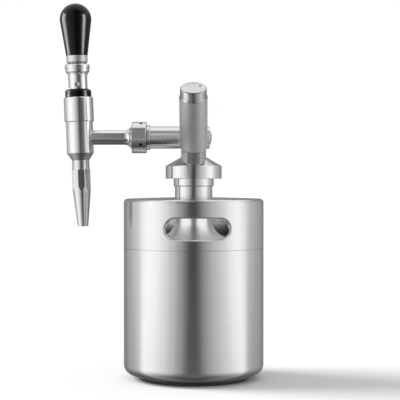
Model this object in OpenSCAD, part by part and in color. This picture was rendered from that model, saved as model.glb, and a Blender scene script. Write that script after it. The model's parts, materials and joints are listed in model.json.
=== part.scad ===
// Nitro cold brew keg: a steel keg with a finger slot and a screw-on head that carries
// a gas charger holder, a push relief valve and a lever tap on a union nut.
// The origin lies on the keg's axis at the floor. +Z is up, the charger holder leans
// toward -Y and the tap stands at -X.

/* [Keg] */
// Outside diameter of the keg
keg_d = 135; // [120:1:160]
// Sheet thickness of the keg cup and the handle shell
keg_wall = 1; // [0.8:0.1:1.6]
// Height of the weld seam above the floor
seam_h = 126.5; // [90:0.5:180]
// Visible height of the weld seam
seam_gap = 0.6; // [0.3:0.1:1.2]
// Depth of the weld seam below the shells
seam_depth = 0.45; // [0.2:0.05:0.7]
// Height of the handle shell above the seam
shell_h = 47; // [42:0.5:60]
// Radius of the bottom corner
foot_round = 9.5; // [4:0.5:12]
// Radius of the top corner
top_round = 3.5; // [3:0.5:8]
// Rise of the top plate from its edge to the neck
top_rise = 1.4; // [0.5:0.1:3]
// Diameter of the anti-slip pad
pad_d = 106; // [90:1:110]
// Height of the anti-slip pad below the keg
pad_h = 4.5; // [3:0.5:7]
// Diameter of the raised panel in the keg's floor
panel_d = 84; // [60:1:86]
// Height of the raised panel
panel_h = 2.5; // [1:0.5:5]

/* [Finger slot] */
// Width of the slot
slot_w = 63.6; // [45:0.2:80]
// Height of the slot
slot_h = 22.5; // [18:0.5:25]
// Height of the slot's middle above the seam
slot_rise = 20; // [17:0.5:23]
// Turn of the slot about the keg's axis
slot_turn = 3.7; // [-20:0.1:20]
// Depth of the lip turned in round the slot
lip_depth = 3; // [1.5:0.5:5]
// Thickness of that lip
lip_t = 1.2; // [0.8:0.1:2]

/* [Neck] */
// Outside diameter of the neck
neck_d = 36.2; // [32:0.2:40]
// Thickness of the shoulder and the neck
neck_wall = 1.4; // [1:0.1:2]
// Slope of the shoulder
shoulder_slope = 16; // [10:0.5:20]
// Radius of the cove between shoulder and neck
cove_r = 16; // [10:0.5:18]
// Length of the shoulder's rim inside the cup
lap_h = 8; // [4:0.5:14]
// Height from the edge of the top plate to the bead
neck_rise = 11.8; // [8:0.2:20]
// Extra radius of the bead
bead_out = 1.35; // [0.8:0.05:2]
// Height of the bead
bead_h = 7.5; // [4:0.5:10]
// Height of the neck's thread, a plain cylinder here
finish_out = 0.6; // [0.3:0.05:0.8]

/* [Cap] */
// Outside diameter of the cap
cap_d = 54.1; // [53:0.1:60]
// Height of the cap's skirt
skirt_h = 12.1; // [11.8:0.1:16]
// Slope of the cap's cone
cap_slope = 30; // [26:0.5:32]
// Depth of the cap's socket
cap_depth = 10.9; // [8:0.1:11]
// Thickness of the cap's gasket
gasket_t = 2; // [1:0.1:3]
// Diameter of the post
post_d = 18.6; // [18:0.1:19]
// Height of the cross tube's axis above the skirt
tube_rise = 27.5; // [26:0.5:40]
// Outside diameter of the cross tube
tube_d = 21.4; // [20:0.1:22]
// Bore of the cross tube
tube_bore = 10; // [6:0.5:11]
// Length of the cross tube to the right of the axis
tube_right = 15.4; // [15:0.1:22]
// Outside diameter of the dip tube
dip_d = 9; // [7:0.1:9.4]
// Wall of the dip tube
dip_wall = 0.8; // [0.5:0.1:1.2]
// Gap from the dip tube's end to the keg's floor
dip_gap = 4; // [2:0.5:12]
// Depth of the dip tube's socket
dip_socket = 9.5; // [6:0.5:14]
// Thickness of the dip tube's ring
dip_ring = 1.3; // [0.8:0.1:1.4]

/* [Charger] */
// Distance of the port's seat from the keg's axis
seat_r = 18.4; // [18.3:0.1:20]
// Height of the spot face over the cone
seat_u = 0.4; // [0.2:0.1:1]
// Diameter of the spot face
seat_d = 17.6; // [16:0.2:18]
// Width across the flats of the port's hexagon
port_flats = 20.6; // [20:0.1:20.8]
// Length of the hexagon
port_len = 15.2; // [15:0.1:24]
// Length of the holder's thread
port_thread = 10.5; // [7:0.5:14]
// Crest diameter of the holder's thread
port_thread_d = 21.8; // [20.6:0.1:22.4]
// Diameter of the port's spigot in the cap
spigot_d = 13; // [10:0.2:13.4]
// Depth of the charger's neck in the hexagon
neck_depth = 9.1; // [6:0.1:12]
// Diameter of the charger
charger_d = 17.8; // [17:0.1:18.2]
// Length of the charger
charger_len = 65.3; // [60:0.1:70]
// Wall of the charger
charger_wall = 1.4; // [1:0.1:2]
// Diameter of the charger's neck
charger_neck_d = 8.8; // [8:0.1:9.4]
// Length of the charger's neck
charger_neck = 8; // [6:0.1:10]
// Length of the charger's shoulder
charger_shoulder = 9; // [6:0.5:12]
// Thickness of the charger's seal
port_seal_t = 1.4; // [1:0.1:2]
// Diameter of the piercing needle
needle_d = 2; // [1.4:0.1:2.4]
// Length of the needle past the seal
needle_out = 1.8; // [1:0.1:2.4]
// Outside diameter of the charger holder
holder_d = 26.5; // [25.6:0.1:30]
// Diameter of the holder's smooth end
holder_end_d = 24.8; // [23.5:0.1:25.5]
// Length of the holder's smooth end
holder_band = 7.8; // [5:0.1:12]
// Length of the taper below the smooth end
holder_taper = 2; // [0.5:0.1:3]
// Thickness of the holder's closed end
holder_floor = 4; // [3:0.1:6]
// Diameter of the holder's vent
vent_d = 1.8; // [1:0.1:3]
// Distance of the vent from the holder's axis
vent_r = 7; // [4:0.1:7.5]
// Turn of the vent about the holder's axis
vent_turn = 28; // [0:1:359]

/* [Relief valve] */
// Diameter of the button
button_d = 15; // [13.5:0.1:15.4]
// Reach of the button's dome past the tube
button_out = 2.2; // [2.05:0.05:4]
// Travel of the button
relief_travel = 2; // [1:0.1:2]
// Thickness of the valve's seat
relief_seat_t = 1.5; // [1:0.1:2]
// Depth of the seat's face in the tube
relief_depth = 4.4; // [4.2:0.1:5]
// Diameter of the valve's stem
relief_stem_d = 3.6; // [2.4:0.1:4]
// Diameter of the gas chamber
relief_chamber_d = 8; // [7:0.1:9]
// Length of the gas chamber
relief_chamber = 4.5; // [4.4:0.1:5]
// Diameter of the valve's disc
relief_disc_d = 6.4; // [5.6:0.1:6.4]
// Thickness of the valve's disc
relief_disc_t = 1.4; // [0.8:0.1:1.5]
// Thickness of the valve's seal
relief_seal_t = 0.8; // [0.5:0.1:0.9]
// Diameter of the gas passage
gas_d = 2.4; // [1.5:0.1:2.4]

/* [Union] */
// Distance of the nut's face from the keg's axis
nut_x = 45.5; // [40:0.5:60]
// Length of the nut
nut_len = 14.1; // [12:0.1:18]
// Outside diameter of the nut
nut_d = 30.3; // [29.6:0.1:36]
// Bore of the nut's thread
nut_bore = 25.4; // [24.6:0.1:25.8]
// Thickness of the nut's inner lip
nut_lip = 3.2; // [2:0.1:4]
// Diameter of the spanner holes
spanner_d = 3; // [2:0.1:3.2]
// Depth of the spanner holes
spanner_depth = 1.7; // [1:0.1:1.8]
// Distance of the spanner holes from the nut's face
spanner_x = 5.1; // [4:0.1:8]
// Thickness of the flange on the cross tube
flange_t = 2.5; // [1.5:0.1:3]
// Thickness of the tail's gasket
tail_gasket_t = 1; // [0.6:0.1:1.6]
// Outside diameter of the slip ring
slip_d = 23.8; // [23:0.1:28]
// Length of the slip ring
slip_len = 3.6; // [2:0.1:5]
// Length of the bell on the shank
bell_len = 7.2; // [6.2:0.1:12]
// Diameter of the shank
shank_d = 14; // [11:0.1:16]
// Bore of the shank
shank_bore = 9; // [6:0.1:9.6]

/* [Tap] */
// Distance of the tap's axis from the keg's axis
tap_x = 109.9; // [100:0.1:150]
// Lean of the tap away from the keg
tap_lean = 2; // [0:0.1:4]
// Diameter of the lower barrel
barrel_d = 25.9; // [24.6:0.1:30]
// Half of the lower barrel's length
barrel_half = 14.9; // [14:0.1:18]
// Length of the cone under the barrel
cone_len = 7; // [5:0.1:10]
// Bore of the valve chamber
chamber_d = 16; // [15:0.1:17]
// Depth of the valve seat below the shank's axis
seat_h = 8; // [7.5:0.1:8.4]
// Thickness of the valve seat
seat_t = 3; // [2:0.1:3.2]
// Bore of the valve seat
seat_bore = 7.6; // [5:0.1:8.4]
// Diameter of the bonnet
bonnet_d = 28.3; // [26:0.1:33]
// Length of the bonnet
bonnet_len = 23.8; // [20:0.1:30]
// Diameter of the bonnet's thread
bonnet_thread_d = 22; // [20:0.1:23]
// Length of the bonnet's thread
bonnet_thread = 12; // [10:0.1:14]
// Diameter of the black ring on the bonnet
ring_d = 25.3; // [24:0.1:27]
// Height of the black ring
ring_h = 8; // [6:0.1:10]
// Radius of the black ring's top edge
ring_round = 3.2; // [1:0.1:3.4]
// Diameter of the black ring's spigot
ring_spigot_d = 18; // [12:0.1:20]
// Depth of the black ring's spigot
ring_spigot = 3.7; // [2:0.1:5]

/* [Nozzle] */
// Length of the nozzle below the barrel's cone
nozzle_len = 63.7; // [50:0.1:80]
// Diameter of the nozzle's neck
nozzle_neck_d = 16.6; // [16.4:0.1:17.4]
// Length of the nozzle's neck
nozzle_neck = 7.9; // [5:0.1:12]
// Width across the flats of the eight-sided grip
nozzle_flats = 17.4; // [17:0.1:20]
// Length of the eight-sided grip
nozzle_grip = 17; // [12:0.1:20]
// Length of the cone from the neck to the eight-sided grip
nozzle_cone = 1.5; // [1:0.5:8]
// Amount turned off each corner of the eight-sided grip
nozzle_corner = 0.2; // [0.1:0.05:0.4]
// Turn of the eight-sided grip
nozzle_turn = 5; // [-22:1:22]
// Diameter of the nozzle's tip
tip_d = 10.1; // [9:0.1:12]
// Bore of the nozzle's tip
tip_bore = 7; // [5:0.1:7.4]
// Diameter of the nozzle's thread
nozzle_thread_d = 14; // [13:0.1:14.4]
// Wall of the nozzle's upper part
nozzle_wall = 1.6; // [1.2:0.1:2]
// Thickness of the restrictor plate
plate_t = 1; // [0.6:0.1:1.6]
// Diameter of the restrictor's holes
plate_hole = 1; // [0.6:0.1:1.6]
// Thickness of the nozzle's gasket
nozzle_gasket_t = 0.8; // [0.5:0.1:1.2]

/* [Valve] */
// Diameter of the plunger's rod
rod_d = 6; // [5:0.1:6.4]
// Thickness of the seat washer
washer_t = 2; // [1:0.1:2.2]
// Thickness of the plunger's disc
disc_t = 2.5; // [1.5:0.1:3]
// Diameter of the plunger's disc
disc_d = 11; // [10:0.1:12]
// Height of the plunger's piston above the shank's axis
piston_z = 8.5; // [8:0.1:9]
// Length of the plunger's piston
piston_len = 5.5; // [4.6:0.1:6]
// Thickness of the piston's ring
piston_ring = 2; // [1.4:0.1:2.4]
// Wire of the springs
wire_d = 1.1; // [0.8:0.1:1.2]
// Mean diameter of the return spring
spring_d = 11.2; // [9:0.1:12]
// Turns of the return spring
spring_turns = 4; // [3:0.5:5]

/* [Lever] */
// Diameter of the lever's neck
lever_d = 18.3; // [17.8:0.1:20]
// Length of the lever
lever_len = 24.2; // [22.5:0.1:32]
// Diameter of the lever's flange
flange_d = 24.2; // [22:0.1:28]
// Height of the lever's flange
flange_h = 6.6; // [4:0.1:7]
// Radius of the cove under the flange
flange_cove = 6; // [4:0.1:7]
// Height of the pivot pin above the lever's heel
pin_rise = 4; // [3.8:0.1:4.4]
// Diameter of the pivot pin
pin_d = 4.5; // [3.5:0.1:5]
// Diameter of the plunger's eye
eye_d = 7.8; // [7:0.1:7.8]
// Thickness of the plunger's eye
eye_t = 6; // [5.2:0.1:7]
// Lift of the cam in a full radian of pull
cam_lift = 5; // [4:0.1:5.4]
// Pull of the lever
lever_pull = 40; // [25:1:44]
// Diameter of the stud in the handle
stud_d = 7; // [6:0.1:8]
// Length of the stud above the lever
stud_up = 24; // [18:0.5:34]
// Thickness of the toothed washer
star_t = 1.4; // [0.8:0.1:2]
// Diameter of the toothed washer
star_d = 18.6; // [16:0.1:20]
// Diameter of the handle's ferrule
ferrule_d = 20.5; // [18:0.1:24]
// Height of the handle's ferrule
ferrule_h = 6.3; // [4:0.1:10]
// Largest diameter of the handle
handle_d = 30.4; // [26:0.1:40]
// Diameter of the handle's foot
handle_foot_d = 20.8; // [18:0.1:25]
// Length of the handle
handle_len = 50.5; // [42:0.5:80]
// Diameter of the threaded insert
insert_d = 11; // [10:0.1:13]
// Length of the threaded insert
insert_len = 19; // [12:0.5:24]

/* [Clearances] */
// Height of the port and union threads, plain cylinders at their roots here
thread_depth = 0.6; // [0.3:0.1:0.8]
// Radial play of a rod or a pin in its bore
run_fit = 0.05; // [0.02:0.01:0.1]
// Play between pieces that pass each other
free_gap = 0.3; // [0.2:0.05:0.4]
// Play between faces that meet at rest
rest_gap = 0.1; // [0.05:0.05:0.2]

/* [Hidden] */
$fn = 96;
over = 0.5;

// Keg, from the floor up
keg_r = keg_d / 2;
keg_ri = keg_r - keg_wall;
cup_top = seam_h - seam_gap / 2;
shell_bottom = seam_h + seam_gap / 2;
shell_top = seam_h + shell_h;
panel_r = panel_d / 2;
slot_z = seam_h + slot_rise;

// Shoulder and neck
neck_r = neck_d / 2;
neck_ri = neck_r - neck_wall;
cove_x = neck_r + cove_r;
cove_tx = cove_x - cove_r * sin(shoulder_slope);
cove_tz = shell_bottom + (keg_ri - cove_tx) * tan(shoulder_slope);
cove_z = cove_tz + cove_r * cos(shoulder_slope);
cove_ri = cove_r + neck_wall;
cove_itx = cove_x - cove_ri * sin(shoulder_slope);
cove_itz = cove_z - cove_ri * cos(shoulder_slope);
rim_ri = keg_ri - neck_wall;
rim_iz = cove_itz - (rim_ri - cove_itx) * tan(shoulder_slope);
bead_z = shell_top + neck_rise;
bead_top = bead_z + bead_h;
finish_r = neck_r + finish_out;
finish_top = bead_top + rest_gap + cap_depth - gasket_t;

// Cap and cross tube
cap_r = cap_d / 2;
cap_z = bead_top + rest_gap;
cone_z = cap_z + skirt_h;
ceiling_z = cap_z + cap_depth;
post_r = post_d / 2;
tube_z = cone_z + tube_rise;
tube_r = tube_d / 2;
dip_r = dip_d / 2;
dip_low = pad_h + panel_h + keg_wall + dip_gap;
dip_top = ceiling_z + dip_socket;
dip_ring_z = ceiling_z + 2;

// Charger port, with stations along the holder's axis from the cone
seat_z = cone_z + (cap_r - seat_r) * tan(cap_slope);
hex_top = seat_u + port_len;
thread_top = hex_top + port_thread;
web_u = hex_top - neck_depth;
port_hole_u = -3.5;
spigot_u = -2.3;
pin_u = web_u - 4;
tip_u = web_u + port_seal_t + rest_gap;
charger_r = charger_d / 2;
charger_end = tip_u + charger_len;
holder_u = hex_top + free_gap;
holder_in = charger_end + rest_gap;
holder_top = holder_in + holder_floor;
charger_mouth = charger_neck_d / 2 + free_gap + 0.1;
gas_y = 13.9;
check_d = 4.4;

// Relief valve, with stations along +X
relief_face = tube_right - relief_depth;
relief_back = relief_face - relief_seat_t;
chamber_x = relief_back - relief_chamber;
relief_bore_r = button_d / 2 + free_gap + 0.1;
button_in = relief_face + relief_travel + 0.4;
button_roof = tube_right + 0.2;
gas_x = relief_back - relief_seal_t - relief_disc_t;

// Union, with stations along -X
flange_x = nut_x + nut_lip + free_gap;
tube_end = flange_x + flange_t;
tail_x = tube_end + tail_gasket_t;
nut_end = nut_x + nut_len;
bell_end = nut_end + bell_len;
tail_r = nut_bore / 2 - free_gap;
thread_end = nut_end - 1.5;
shank_r = shank_d / 2;
bell_rise = tail_r - shank_r;
bell_arc = (bell_len * bell_len + bell_rise * bell_rise) / (2 * bell_rise);

// Tap, with stations along its axis from the shank's axis
barrel_r = barrel_d / 2;
bonnet_top = barrel_half + bonnet_len;
ring_top = bonnet_top + ring_h;
bonnet_roof = barrel_half + bonnet_thread + free_gap;
cone_end = -barrel_half - cone_len;
web_h = -seat_h - seat_t;
plate_h = web_h - nozzle_gasket_t;
nozzle_top = plate_h - plate_t;
grip_top = cone_end - nozzle_neck;
grip_end = grip_top - nozzle_grip;
tip_h = cone_end - nozzle_len;
grip_r = nozzle_flats / 2 / cos(22.5);
grip_round = grip_r - nozzle_corner;
disc_h = -seat_h + washer_t;
piston_top = piston_z + piston_len;
piston_r = chamber_d / 2 - free_gap;
groove_z = piston_z + (piston_len - piston_ring) / 2;
groove_r = piston_r - piston_ring;

// Lever, on the same axis
lever_low = ring_top + rest_gap;
pin_h = lever_low + pin_rise;
lever_top = lever_low + lever_len;
lever_r = lever_d / 2;
star_top = lever_top + star_t;
ferrule_top = star_top + ferrule_h;
handle_top = ferrule_top + handle_len;
handle_r = handle_d / 2;
handle_mid = handle_top - handle_r;
stud_low = pin_h + eye_d / 2 + 4;
stud_top = lever_top + stud_up;

// Point where a line from the handle's foot touches the round of its top
foot_v = [handle_foot_d / 2, ferrule_top - handle_mid];
foot_l2 = foot_v * foot_v;
foot_k = handle_r * sqrt(foot_l2 - handle_r * handle_r) / foot_l2;
handle_tan = handle_r * handle_r / foot_l2 * foot_v + foot_k * [-foot_v.y, foot_v.x];

// Cam outline for a tilt in degrees: the heel rises evenly with the tilt
function cam_reach(t) = pin_rise + cam_lift * t * PI / 180;
function cam_point(t) = [
  -cam_reach(t) * sin(t) - cam_lift * cos(t),
  -cam_reach(t) * cos(t) + cam_lift * sin(t)
];

// Places

module at_port() {
  translate([0, -seat_r, seat_z])
    rotate([cap_slope, 0, 0])
      children();
}

module along_left() {
  translate([0, 0, tube_z])
    rotate([0, -90, 0])
      children();
}

module along_right() {
  translate([0, 0, tube_z])
    rotate([0, 90, 0])
      children();
}

module at_tap() {
  translate([-tap_x, 0, tube_z])
    rotate([0, -tap_lean, 0])
      children();
}

// Outline in the plane of the lever's swing, drawn from the pivot pin and pushed through in Y
module across_pin(width) {
  translate([0, 0, pin_h])
    rotate([90, 0, 0])
      translate([0, 0, -width / 2])
        linear_extrude(width)
          children();
}

// Shapes

module ring(r_out, r_in, z_low, z_high) {
  translate([0, 0, z_low])
    difference() {
      cylinder(r = r_out, h = z_high - z_low);
      translate([0, 0, -over])
        cylinder(r = r_in, h = z_high - z_low + 2 * over);
    }
}

module bore(r, z_low, z_high) {
  translate([0, 0, z_low])
    cylinder(r = r, h = z_high - z_low);
}

module band(r_low, r_high, z_low, z_high) {
  translate([r_low, z_low])
    square([r_high - r_low, z_high - z_low]);
}

// Half section of a cup with a round lower corner
module cup_section(r, z_low, z_high, corner) {
  band(0, r - corner, z_low, z_high);
  band(0, r, z_low + corner, z_high);
  translate([r - corner, z_low + corner])
    circle(corner);
}

module panel_section(r, z_low) {
  polygon([[0, z_low - over], [r + panel_h, z_low - over], [r + panel_h, z_low],
    [r, z_low + panel_h], [0, z_low + panel_h]]);
}

module slot_section(grow) {
  flat = slot_w - slot_h;
  translate([-flat / 2, -slot_h / 2 - grow])
    square([flat, slot_h + 2 * grow]);
  for (side = [-1, 1])
    translate([side * flat / 2, 0])
      circle(slot_h / 2 + grow);
}

module slot_prism(grow) {
  translate([0, 0, slot_z])
    rotate([90, 0, slot_turn])
      linear_extrude(keg_d)
        slot_section(grow);
}

// Wire coil standing on z = 0
module coil(d, wire, len, turns) {
  sides = 6;
  steps = 12;
  last = turns * steps;
  rise = (len - wire) / last;
  points = [
    for (i = [0:last], j = [0:sides - 1])
      let (a = 360 * i / steps, b = 360 * j / sides, r = d / 2 + wire / 2 * cos(b))
        [r * cos(a), r * sin(a), wire / 2 + rise * i + wire / 2 * sin(b)]
  ];
  skin = [
    for (i = [0:last - 1], j = [0:sides - 1])
      let (a = i * sides + j, b = i * sides + (j + 1) % sides)
        each [[a, b, b + sides], [a, b + sides, a + sides]]
  ];
  caps = [
    for (j = [1:sides - 2])
      each [[0, j + 1, j], [last * sides, last * sides + j, last * sides + j + 1]]
  ];
  polyhedron(points, concat(skin, caps));
}

// Keg

module base_pad() {
  edge = 0.8;
  color("#2b2b2b")
    rotate_extrude()
      difference() {
        union() {
          polygon([[0, 0], [pad_d / 2 - edge, 0], [pad_d / 2, edge], [pad_d / 2, pad_h], [0, pad_h]]);
          band(0, panel_r - free_gap, 0, pad_h + panel_h - free_gap);
        }
        for (r = [panel_r * 0.5, panel_r * 0.9])
          band(r, r + 3, -over, 0.8);
      }
}

module keg_cup() {
  color("#c9cacc")
    rotate_extrude()
      difference() {
        difference() {
          cup_section(keg_r, pad_h, cup_top, foot_round);
          panel_section(panel_r, pad_h);
        }
        difference() {
          cup_section(keg_ri, pad_h + keg_wall, cup_top + over, foot_round - keg_wall);
          panel_section(panel_r + keg_wall, pad_h + keg_wall);
        }
      }
}

module shoulder_section() {
  difference() {
    polygon([[0, cup_top - lap_h], [keg_ri, cup_top - lap_h], [keg_ri, shell_bottom], [cove_tx, cove_tz],
      [cove_x, cove_z], [neck_r, cove_z], [neck_r, finish_top], [0, finish_top]]);
    translate([cove_x, cove_z])
      circle(cove_r);
  }
}

module shoulder_hollow() {
  difference() {
    polygon([[0, cup_top - lap_h - over], [rim_ri, cup_top - lap_h - over], [rim_ri, rim_iz],
      [cove_itx, cove_itz], [cove_x, cove_z], [neck_ri, cove_z], [neck_ri, finish_top + over],
      [0, finish_top + over]]);
    translate([cove_x, cove_z])
      circle(cove_ri);
  }
}

module shoulder_neck() {
  color("#d4d5d7")
    rotate_extrude()
      difference() {
        union() {
          shoulder_section();
          band(keg_ri - keg_wall, keg_r - seam_depth, cup_top, shell_bottom);
          band(neck_ri, neck_r + bead_out, bead_z + bead_out, bead_top);
          translate([neck_r, bead_z + bead_out])
            circle(bead_out);
        }
        shoulder_hollow();
      }
}

module shell_section(inset) {
  top = shell_top - inset;
  round_in = top_round - inset;
  band(0, keg_r - inset, shell_bottom - over * inset, top - round_in);
  band(0, keg_r - top_round, top - round_in - over, top);
  translate([keg_r - top_round, top - round_in])
    circle(round_in);
  polygon([[0, top - over], [keg_r - top_round, top - over], [keg_r - top_round, top],
    [neck_r, top + top_rise], [0, top + top_rise]]);
}

module handle_shell() {
  color("#c9cacc")
    difference() {
      union() {
        rotate_extrude()
          difference() {
            shell_section(0);
            shell_section(keg_wall);
          }
        intersection() {
          slot_prism(lip_t);
          ring(keg_ri + keg_wall / 2, keg_ri - lip_depth, shell_bottom, shell_top - top_round);
        }
      }
      slot_prism(0);
      bore(neck_r, shell_top - 2 * top_round, shell_top + top_rise + over);
    }
}

// Head

module cap_gasket() {
  color("#ece9e2")
    ring(finish_r + free_gap / 2, neck_ri - free_gap / 2, finish_top, ceiling_z);
}

module screw_cap() {
  edge = 0.5;
  cone_top = cone_z + (cap_r - post_r) * tan(cap_slope);
  color("#d9dadc")
    difference() {
      union() {
        rotate_extrude()
          polygon([[0, cap_z], [cap_r - edge, cap_z], [cap_r, cap_z + edge], [cap_r, cone_z - edge / 2],
            [cap_r - edge * cos(cap_slope), cone_z + edge * sin(cap_slope)],
            [post_r, cone_top], [0, cone_top]]);
        at_port()
          bore(seat_d / 2, port_hole_u, seat_u);
      }
      bore(finish_r + free_gap, cap_z - over, ceiling_z);
      bore(post_r, ceiling_z - over, tube_z);
      at_port()
        bore(spigot_d / 2, port_hole_u, seat_u + over);
      translate([0, -gas_y, 0])
        bore(gas_d / 2, ceiling_z - over, ceiling_z + 5);
    }
}

module tee_tube() {
  edge = 0.5;
  color("#dcdddf")
    difference() {
      union() {
        bore(post_r, ceiling_z, tube_z);
        along_left()
          rotate_extrude()
            polygon([[0, -tube_right], [tube_r - edge, -tube_right], [tube_r, edge - tube_right],
              [tube_r, flange_x], [tail_r - rest_gap, flange_x],
              [tail_r - rest_gap, tube_end], [0, tube_end]]);
      }
      along_left()
        bore(tube_bore / 2, -3.5, tube_end + over);
      bore(dip_r - dip_wall, ceiling_z - over, tube_z);
      bore(dip_r, ceiling_z - over, dip_top);
      bore(dip_r + dip_ring, dip_ring_z, dip_ring_z + dip_ring * 1.5);
      along_right()
        bore(relief_bore_r, relief_back, tube_right + over);
      along_right()
        bore(relief_chamber_d / 2, chamber_x, relief_back + over);
      translate([gas_x, 0, 0])
        bore(gas_d / 2, ceiling_z - over, tube_z);
    }
}

module dip_tube() {
  color("#d0d1d3")
    difference() {
      ring(dip_r, dip_r - dip_wall, dip_low, dip_top);
      translate([0, 0, dip_low + dip_r])
        rotate([0, 45, 0])
          translate([-2 * dip_d, -dip_d, -2 * dip_d])
            cube([4 * dip_d, 2 * dip_d, 2 * dip_d]);
    }
}

module dip_o_ring() {
  color("#3a3a3a")
    ring(dip_r + dip_ring, dip_r, dip_ring_z, dip_ring_z + dip_ring * 1.5);
}

module charger_port() {
  edge = 1;
  low_edge = 2.6;
  hex_r = port_flats / 2 / cos(30);
  color("#b9babd")
    at_port()
      difference() {
        union() {
          intersection() {
            translate([0, 0, seat_u])
              cylinder(r = hex_r, h = port_len, $fn = 6);
            rotate_extrude()
              polygon([[0, seat_u], [hex_r - low_edge, seat_u], [hex_r + 0.4, seat_u + low_edge * 0.7],
                [hex_r + 0.4, hex_top - edge * 0.8], [hex_r - edge, hex_top], [0, hex_top]]);
          }
          bore(spigot_d / 2, spigot_u, seat_u + over);
          bore(port_thread_d / 2 - thread_depth, hex_top - over, thread_top);
        }
        bore(gas_d / 2, spigot_u - over, web_u);
        bore(needle_d, pin_u, web_u + over);
        rotate_extrude()
          polygon([[0, web_u], [charger_mouth, web_u],
            [charger_mouth, tip_u + charger_neck - free_gap],
            [charger_r + free_gap, tip_u + charger_neck + charger_shoulder - free_gap],
            [charger_r + free_gap, thread_top + over], [0, thread_top + over]]);
      }
}

module piercing_pin() {
  needle_r = needle_d / 2;
  needle_top = web_u + port_seal_t + needle_out;
  color("#8f9094")
    at_port()
      rotate_extrude()
        polygon([[0.3, pin_u], [needle_d, pin_u], [needle_d, web_u], [needle_r, web_u],
          [needle_r, needle_top - needle_r], [0.3, needle_top]]);
}

module port_seal() {
  color("#3a3a3a")
    at_port()
      ring(charger_mouth - rest_gap, needle_d / 2 + rest_gap, web_u, web_u + port_seal_t);
}

module check_valve() {
  lip = 5;
  color("#3a3a3a")
    translate([0, -gas_y, 0])
      difference() {
        union() {
          bore(gas_d / 2, ceiling_z - over, ceiling_z + 2);
          translate([0, 0, ceiling_z - lip])
            cylinder(d1 = check_d / 2, d2 = check_d, h = lip);
        }
        bore(gas_d / 4, ceiling_z - lip * 0.8, ceiling_z + 2 + over);
      }
}

module charger_section(inset) {
  r = charger_r - inset;
  neck = charger_neck_d / 2 - inset;
  shoulder = tip_u + charger_neck + charger_shoulder;
  intersection() {
    union() {
      polygon([[0, tip_u + inset], [neck, tip_u + inset], [neck, tip_u + charger_neck],
        [r, shoulder], [r, charger_end - charger_r], [0, charger_end - charger_r]]);
      translate([0, charger_end - charger_r])
        circle(r);
    }
    band(0, charger_d, tip_u - over, charger_end + over);
  }
}

module gas_charger() {
  color("#c2b48a")
    at_port()
      difference() {
        rotate_extrude()
          difference() {
            charger_section(0);
            charger_section(charger_wall);
          }
        bore(needle_d / 2 + free_gap, tip_u - over, tip_u + charger_wall + over);
      }
}

module charger_holder() {
  edge = 1;
  band_u = holder_top - holder_band;
  color("#a9aaad")
    at_port()
      difference() {
        rotate_extrude()
          polygon([[0, holder_u], [holder_d / 2 - edge / 2, holder_u], [holder_d / 2, holder_u + edge / 2],
            [holder_d / 2, band_u - holder_taper], [holder_end_d / 2, band_u],
            [holder_end_d / 2, holder_top - edge], [holder_end_d / 2 - edge, holder_top], [0, holder_top]]);
        bore(port_thread_d / 2 + free_gap, holder_u - over, thread_top + free_gap);
        bore(charger_r + free_gap, thread_top, holder_in);
        rotate([0, 0, vent_turn])
          translate([vent_r, 0, 0])
            bore(vent_d / 2, holder_in - over, holder_top + over);
      }
}

// Relief valve

module relief_seat() {
  color("#b08d4f")
    along_right()
      ring(relief_bore_r, relief_stem_d / 2 + 0.5, relief_back, relief_face);
}

module relief_spring() {
  color("#8f9094")
    along_right()
      translate([0, 0, relief_face])
        coil(relief_stem_d + 4.4, wire_d * 0.7, button_roof - relief_face, 2);
}

module relief_button() {
  dome_r = (button_d * button_d / 4 + button_out * button_out) / (2 * button_out);
  crown = tube_right + button_out;
  color("#d9dadc")
    along_right()
      rotate_extrude()
        difference() {
          intersection() {
            union() {
              band(0, button_d / 2, button_in, tube_right);
              intersection() {
                translate([0, crown - dome_r])
                  circle(dome_r);
                band(0, button_d / 2, tube_right - over, crown);
              }
            }
            band(0, button_d, button_in, crown);
          }
          band(relief_stem_d / 2, button_d / 2 - 2, button_in - over, button_roof);
          band(0, relief_stem_d / 2, button_in - over, crown - 1.6);
        }
}

module relief_stem() {
  disc_x = relief_back - relief_seal_t - relief_disc_t;
  color("#b9babd")
    along_right() {
      bore(relief_stem_d / 2, disc_x, tube_right + button_out - 1.6);
      bore(relief_disc_d / 2, disc_x, disc_x + relief_disc_t);
    }
}

module relief_seal() {
  color("#3a3a3a")
    along_right()
      ring(relief_disc_d / 2, relief_stem_d / 2, relief_back - relief_seal_t, relief_back - rest_gap / 2);
}

// Union

module slip_ring() {
  edge = 0.7;
  bore_r = tube_r + run_fit;
  slip_end = nut_x - rest_gap;
  slip_x = slip_end - slip_len;
  color("#c4c5c7")
    along_left()
      rotate_extrude()
        polygon([[bore_r, slip_x], [slip_d / 2 - edge, slip_x], [slip_d / 2, slip_x + edge],
          [slip_d / 2, slip_end - edge], [slip_d / 2 - edge, slip_end], [bore_r, slip_end]]);
}

module coupling_nut() {
  edge = 0.6;
  color("#8c8d90")
    along_left()
      difference() {
        rotate_extrude()
          polygon([[0, nut_x], [nut_d / 2 - edge, nut_x], [nut_d / 2, nut_x + edge],
            [nut_d / 2, nut_end - edge], [nut_d / 2 - edge, nut_end], [0, nut_end]]);
        bore(tube_r + free_gap, nut_x - over, flange_x);
        bore(nut_bore / 2, nut_x + nut_lip, nut_end + over);
        for (i = [0:3])
          rotate([0, 0, 90 * i - 28])
            translate([nut_d / 2 - spanner_depth, 0, nut_x + spanner_x])
              rotate([0, 90, 0])
                cylinder(d = spanner_d, h = spanner_depth + over);
      }
}

module tail_gasket() {
  color("#3a3a3a")
    along_left()
      ring(tail_r - rest_gap, tube_bore / 2 + rest_gap, tube_end, tail_x);
}

// Tap

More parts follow.
